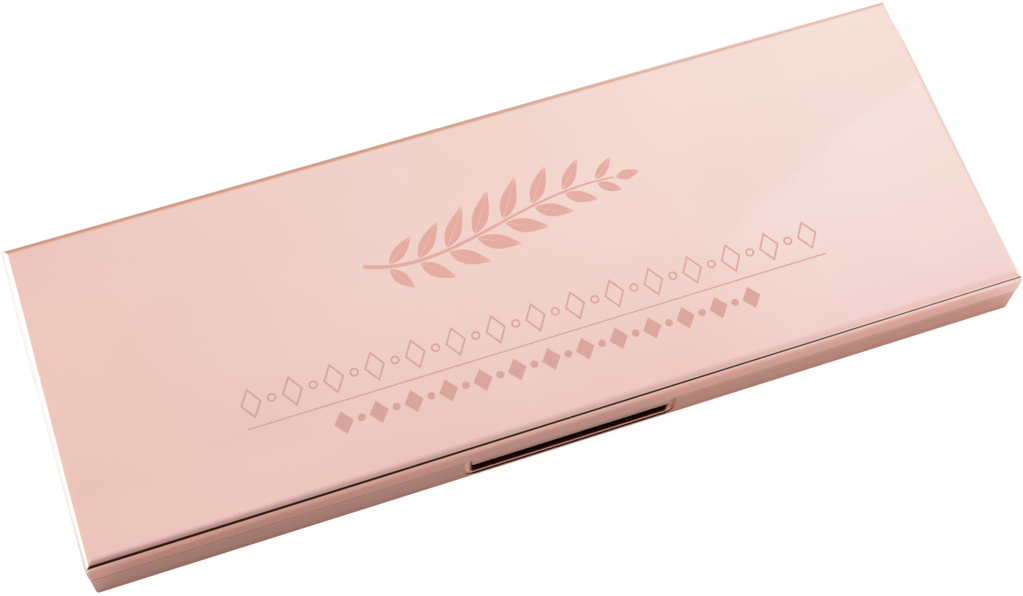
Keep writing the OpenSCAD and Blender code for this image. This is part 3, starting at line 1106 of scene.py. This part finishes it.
def make_world():
    """A soft studio for reflections and light, and a plain white backdrop for the camera."""
    world = bpy.data.worlds.new("studio")
    bpy.context.scene.world = world
    world.use_nodes = True
    tree = world.node_tree
    tree.nodes.clear()
    towards = add_node(tree, "TexCoord").outputs["Generated"]
    x, y, z = add_node(tree, "SeparateXYZ", {"Vector": towards}).outputs
    angle = math_node(tree, "ARCTAN2", z, math_node(tree, "MULTIPLY", y, -1.0))
    theta = math_node(tree, "DIVIDE", angle, math.pi)
    low_rear = fade(tree, y, LOW_REAR_FROM, LOW_REAR_TO, 0.0, LOW_REAR_SHIFT)
    shifted = math_node(tree, "SUBTRACT", x, low_rear)
    across = remap(tree, shifted, ACROSS_LEFT, ACROSS_RIGHT)
    left = sweep(tree, theta, SWEEP_LEFT)
    right = sweep(tree, theta, SWEEP_RIGHT)
    cloud = remap(tree, noise(tree, towards, 5.0, 2.0), 0.3, 0.7)
    tint = mix_colour(tree, cloud, CLOUD_COOL, CLOUD_WARM)
    light = multiply_colour(tree, mix_colour(tree, across, left, right), tint)
    for sides, factor in TINTED_PARTS:
        tinted = mix_colour(tree, within(tree, towards, sides), WHITE, factor)
        light = multiply_colour(tree, light, tinted)
    for sides, colour in WALLS:
        light = mix_colour(tree, within(tree, towards, sides), light, colour)
    underglow = mix_colour(tree, remap(tree, y, -0.7, 0.5), UNDERGLOW_FRONT, UNDERGLOW_REAR)
    light = mix_colour(tree, remap(tree, z, -0.02, -0.12), light, underglow)
    for sides, colour in SOFTBOXES:
        light = mix_colour(tree, within(tree, towards, sides), light, colour)
    seen = add_node(tree, "LightPath").outputs["Is Camera Ray"]
    colour = mix_colour(tree, seen, light, BACKDROP)
    background = add_node(tree, "Background", {"Color": colour, "Strength": 1.0})
    output = add_node(tree, "OutputWorld")
    tree.links.new(background.outputs[0], output.inputs["Surface"])


def floor_card(tree, shader, coords):
    """The floor as the palette reflects it and is lit by it: masks, then colour with painted shade in
    front, then glow.
    """
    x, y, _ = add_node(tree, "SeparateXYZ", {"Vector": coords}).outputs
    front = fade(tree, y, -0.5 * HALF_D, -HALF_D)
    behind = remap(tree, y, HALF_D, 1.3 * HALF_D)
    far = remap(tree, y, 1.6 * HALF_D, 3.2 * HALF_D)
    far = math_node(tree, "MULTIPLY", far, remap(tree, x, HALF_W, 0.4 * HALF_W))
    aside = remap(tree, math_node(tree, "ABSOLUTE", x), HALF_W, 1.16 * HALF_W)
    aside = math_node(tree, "MULTIPLY", aside, remap(tree, y, -HALF_D, 0, SIDE_GLOW_AT_FRONT, 1.0))
    to_right = remap(tree, x, -0.7 * HALF_W, HALF_W)
    near_foot = fade(tree, y, FOOT_SHADE_Y, FOOT_SHADE_Y + FOOT_SHADE_SOFT)
    contact = fade(tree, y, FRONT_Y - CONTACT_REACH, FRONT_Y)

    # Painted shade in front of the palette: darker and warmer at the left, deeper near the foot and
    # right at it
    front_shade = mix_colour(tree, to_right, FRONT_SHADE_LEFT, FRONT_SHADE_RIGHT)
    foot_shade = mix_colour(tree, to_right, FOOT_SHADE_LEFT, FOOT_SHADE_RIGHT)
    front_shade = mix_colour(tree, near_foot, front_shade, multiply_colour(tree, front_shade, foot_shade))
    front_shade = mix_colour(tree, contact, front_shade, multiply_colour(tree, front_shade, CONTACT_SHADE))
    card = mix_colour(tree, noise(tree, coords, 900, 3.0), CARD_DEEP, CARD_PALE)
    card = mix_colour(tree, far, mix_colour(tree, front, card, front_shade), FAR_CARD)

    lit = math_node(tree, "MULTIPLY", front, to_right)
    lit = math_node(tree, "MULTIPLY", lit, remap(tree, near_foot, 0.0, 1.0, 1.0, FRONT_GLOW_AT_FOOT))
    glow = mix_colour(tree, lit, BLACK, FRONT_GLOW)
    glow = mix_colour(tree, behind, glow, REAR_GLOW)
    glow = mix_colour(tree, aside, glow, SIDE_GLOW)
    glow = mix_colour(tree, far, glow, BLACK)
    feed(tree, shader, Base_Color=card, Emission_Color=glow)
    feed(tree, shader, Roughness=0.85, Specular_IOR_Level=0.1, Emission_Strength=1.0)


def make_floor():
    """A pale floor, open under the palette and clear from below, so that the underside can be seen."""
    material, tree, shader, coords = new_material("floor_card")
    floor_card(tree, shader, coords)
    paper = add_node(tree, "BsdfPrincipled")
    feed(tree, paper, Base_Color=(*PAPER, 1), Roughness=0.85, Specular_IOR_Level=0.0)
    feed(tree, paper, Emission_Color=(*WHITE, 1), Emission_Strength=PAPER_GLOW)
    seen = add_node(tree, "LightPath").outputs["Is Camera Ray"]
    top = add_node(tree, "MixShader", {0: seen, 1: shader.outputs[0], 2: paper.outputs[0]})
    from_below = add_node(tree, "NewGeometry").outputs["Backfacing"]
    clear = add_node(tree, "BsdfTransparent").outputs[0]
    mixed = add_node(tree, "MixShader", {0: from_below, 1: top.outputs[0], 2: clear})
    tree.links.new(mixed.outputs[0], tree.nodes["Material Output"].inputs["Surface"])

    under = BASE_SET_IN + FOOT_EDGE_R
    loops = [
        rounded_loop(HALF_W - under, HALF_D - under, CORNER_R, -FLOOR_DROP),
        rounded_loop(FLOOR_HALF, FLOOR_HALF, FLOOR_HALF / 2, -FLOOR_DROP),
    ]
    bm = bmesh.new()
    bridge(bm, [[bm.verts.new(p) for p in loop] for loop in loops])
    floor = add_piece("floor", bm, [material])
    if floor.data.polygons[0].normal.z < 0:
        floor.data.flip_normals()


def make_flag():
    """A strip of dark card, whose reflection is the dark line along the lid's front rounding.

    It is hidden from the camera and from diffuse light, and gives no shadow.
    """
    material, tree, shader, coords = new_material("flag_card")
    x, _, z = add_node(tree, "SeparateXYZ", {"Vector": coords}).outputs
    paler = fade(tree, x, FLAG_PALE_FROM, FLAG_PALE_TO)
    over_low = math_node(tree, "MULTIPLY_ADD", x, -FLAG_RISE, z)
    over_low = fade(tree, over_low, FLAG_LOW - FLAG_SOFT_LOW, FLAG_LOW + FLAG_SOFT_LOW)
    under_high = math_node(tree, "MULTIPLY_ADD", x, FLAG_DROP, z)
    under_high = fade(tree, under_high, FLAG_HIGH + FLAG_SOFT_HIGH, FLAG_HIGH - FLAG_SOFT_HIGH)
    feed(tree, shader, Base_Color=(*BLACK, 1), Specular_IOR_Level=0.0, Emission_Strength=1.0)
    feed(tree, shader, Emission_Color=mix_colour(tree, paler, FLAG_DARK, FLAG_PALE))
    feed(tree, shader, Alpha=math_node(tree, "MULTIPLY", over_low, under_high))
    top = FLAG_HIGH + FLAG_MARGIN
    corners = ((FLAG_LEFT, LID_TOP), (FLAG_RIGHT, LID_TOP), (FLAG_RIGHT, top), (FLAG_LEFT, top))
    bm = bmesh.new()
    bm.faces.new([bm.verts.new((across, FLAG_Y, up)) for across, up in corners])
    flag = add_piece("flag", bm, [material])
    flag.visible_camera = False
    flag.visible_diffuse = False
    flag.visible_shadow = False


make_world()
make_floor()
make_flag()
bpy.context.scene.view_settings.view_transform = "Standard"
